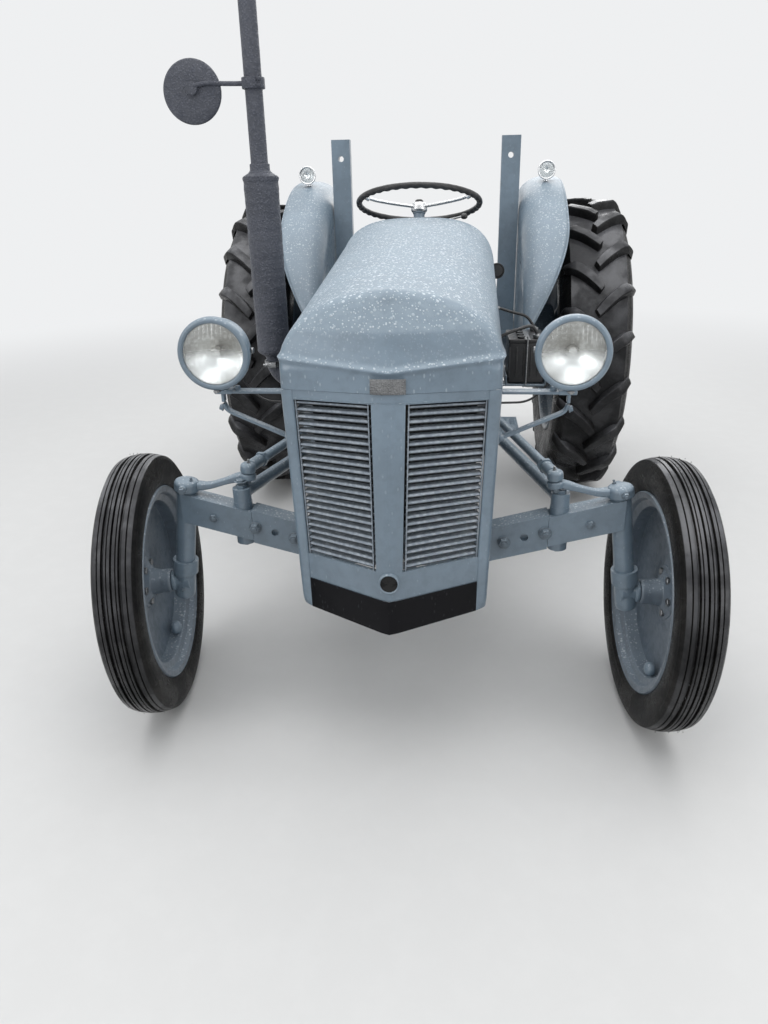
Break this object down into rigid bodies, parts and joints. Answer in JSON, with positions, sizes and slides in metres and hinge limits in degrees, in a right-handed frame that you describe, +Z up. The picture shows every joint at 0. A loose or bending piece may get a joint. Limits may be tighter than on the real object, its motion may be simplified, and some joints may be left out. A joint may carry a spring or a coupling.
{
  "type": "vintage farm tractor",
  "caption": "Vintage farm tractor with a rounded bonnet, slatted nose, narrow steered front wheels, large rear wheels with mudguards and a rear hitch.",
  "frame": {"origin": "on the ground under the middle of the bounding box", "axes": "+Z up, -Y the way the tractor drives, +X the driver's left"},
  "size_m": [1.627, 2.9207, 1.9301],
  "materials": {
    "paint": "satin enamel, grey with a touch of blue",
    "dark_metal": "dull dark grey",
    "tyre": "matt black rubber",
    "black_plastic": "black",
    "chrome": "polished",
    "lens": "clear"
  },
  "bodies": {
    "chassis": {"front_support": "paint", "front_axle_beam": "paint", "axle_arms": "paint", "radius_rods": "paint", "engine": "paint", "manifold": "dark_metal", "exhaust_stack": "dark_metal", "mirror": "dark_metal", "radiator": "paint", "dynamo": "dark_metal", "air_cleaner": "paint", "battery": "black_plastic", "fuel_tank": "paint", "dash": "paint", "transmission": "paint", "steering_column": "paint", "controls": "dark_metal", "footrests": "paint", "seat": "paint", "seat_support": "paint", "fender_left": "paint", "fender_right": "paint", "side_lamps": "chrome", "roll_bar_posts": "paint"},
    "fan": {"fan": "dark_metal"},
    "steering_wheel": {"steering_wheel": "black_plastic"},
    "bonnet": {"bonnet": "paint", "grille_surround": "paint", "grille_slats": "dark_metal", "number_plate": "black_plastic", "headlamps": "paint", "headlamp_lenses": "lens"},
    "lower_links": {"lower_links": "paint"},
    "lift_arms": {"lift_arms": "paint"},
    "lift_rods": {"lift_rods": "paint"},
    "knuckle_left": {"knuckle_left": "paint"},
    "front_wheel_left": {"front_wheel_left": "paint", "front_tyre_left": "tyre"},
    "rear_wheel_left": {"rear_wheel_left": "paint", "rear_tyre_left": "tyre"},
    "drag_link_left": {"drag_link_left": "paint"},
    "drop_arm_left": {"drop_arm_left": "paint"},
    "knuckle_right": {"knuckle_right": "paint"},
    "front_wheel_right": {"front_wheel_right": "paint", "front_tyre_right": "tyre"},
    "rear_wheel_right": {"rear_wheel_right": "paint", "rear_tyre_right": "tyre"},
    "drag_link_right": {"drag_link_right": "paint"},
    "drop_arm_right": {"drop_arm_right": "paint"}
  },
  "joints": [
    {"name": "steer_left", "type": "hinge", "parent": "chassis", "child": "knuckle_left", "pos_m": [0.56, -1.10318, 0.49998], "axis": [-0.1392, 0, 0.9903], "range_deg": [-47, 37]},
    {"name": "front_wheel_spin_left", "type": "hinge", "parent": "knuckle_left", "child": "front_wheel_left", "pos_m": [0.66097, -1.09906, 0.34696], "axis": [0.9981, 0.0515, -0.0351], "continuous": true},
    {"name": "drag_link_pivot_left", "type": "hinge", "parent": "knuckle_left", "child": "drag_link_left", "pos_m": [0.38413, -1.11119, 0.65349], "axis": [-0.1392, 0, 0.9903], "range_deg": [-37, 47]},
    {"name": "drop_arm_swing_left", "type": "hinge", "parent": "chassis", "child": "drop_arm_left", "pos_m": [0.159, -0.12318, 0.862], "axis": [1, 0, 0], "range_deg": [-24, 30]},
    {"name": "rear_wheel_spin_left", "type": "hinge", "parent": "chassis", "child": "rear_wheel_left", "pos_m": [0.673, 0.67482, 0.623], "axis": [1, 0, 0], "continuous": true},
    {"name": "steer_right", "type": "hinge", "parent": "chassis", "child": "knuckle_right", "pos_m": [-0.56, -1.10318, 0.49998], "axis": [0.1392, 0, 0.9903], "range_deg": [-47, 37]},
    {"name": "front_wheel_spin_right", "type": "hinge", "parent": "knuckle_right", "child": "front_wheel_right", "pos_m": [-0.66049, -1.11279, 0.34689], "axis": [0.9921, 0.12, 0.0359], "continuous": true},
    {"name": "drag_link_pivot_right", "type": "hinge", "parent": "knuckle_right", "child": "drag_link_right", "pos_m": [-0.38505, -1.08454, 0.65362], "axis": [0.1392, 0, 0.9903], "range_deg": [-37, 47]},
    {"name": "drop_arm_swing_right", "type": "hinge", "parent": "chassis", "child": "drop_arm_right", "pos_m": [-0.159, -0.12318, 0.862], "axis": [1, 0, 0], "range_deg": [-30, 24]},
    {"name": "rear_wheel_spin_right", "type": "hinge", "parent": "chassis", "child": "rear_wheel_right", "pos_m": [-0.673, 0.67482, 0.623], "axis": [1, 0, 0], "continuous": true},
    {"name": "steering_wheel_turn", "type": "hinge", "parent": "chassis", "child": "steering_wheel", "pos_m": [0, -0.00318, 1.254], "axis": [0, 0.2924, 0.9563], "range_deg": [-494, 389]},
    {"name": "fan_spin", "type": "hinge", "parent": "chassis", "child": "fan", "pos_m": [0, -1.02018, 0.72], "axis": [0, 1, 0], "continuous": true},
    {"name": "bonnet_hinge", "type": "hinge", "parent": "chassis", "child": "bonnet", "pos_m": [0, -1.22318, 0.42998], "axis": [1, 0, 0], "range_deg": [0, 70]},
    {"name": "hitch_lift", "type": "hinge", "parent": "chassis", "child": "lift_arms", "pos_m": [0, 0.73482, 0.84], "axis": [1, 0, 0], "range_deg": [-18, 35]},
    {"name": "lower_link_swing", "type": "hinge", "parent": "chassis", "child": "lower_links", "pos_m": [0, 0.73482, 0.43], "axis": [1, 0, 0], "range_deg": [-18, 35]},
    {"name": "lift_rod_swing", "type": "hinge", "parent": "lift_arms", "child": "lift_rods", "pos_m": [0, 1.01482, 0.84], "axis": [1, 0, 0], "range_deg": [-35, 18]}
  ],
  "couplings": [
    {"joint": "steer_right", "follows": "steer_left", "ratio": 1},
    {"joint": "drag_link_pivot_left", "follows": "steer_left", "ratio": -1},
    {"joint": "drag_link_pivot_right", "follows": "steer_left", "ratio": -1},
    {"joint": "drop_arm_swing_left", "follows": "steer_left", "ratio": -0.62},
    {"joint": "drop_arm_swing_right", "follows": "steer_left", "ratio": 0.62},
    {"joint": "steering_wheel_turn", "follows": "steer_left", "ratio": 10.5},
    {"joint": "lower_link_swing", "follows": "hitch_lift", "ratio": 1},
    {"joint": "lift_rod_swing", "follows": "hitch_lift", "ratio": -1}
  ]
}
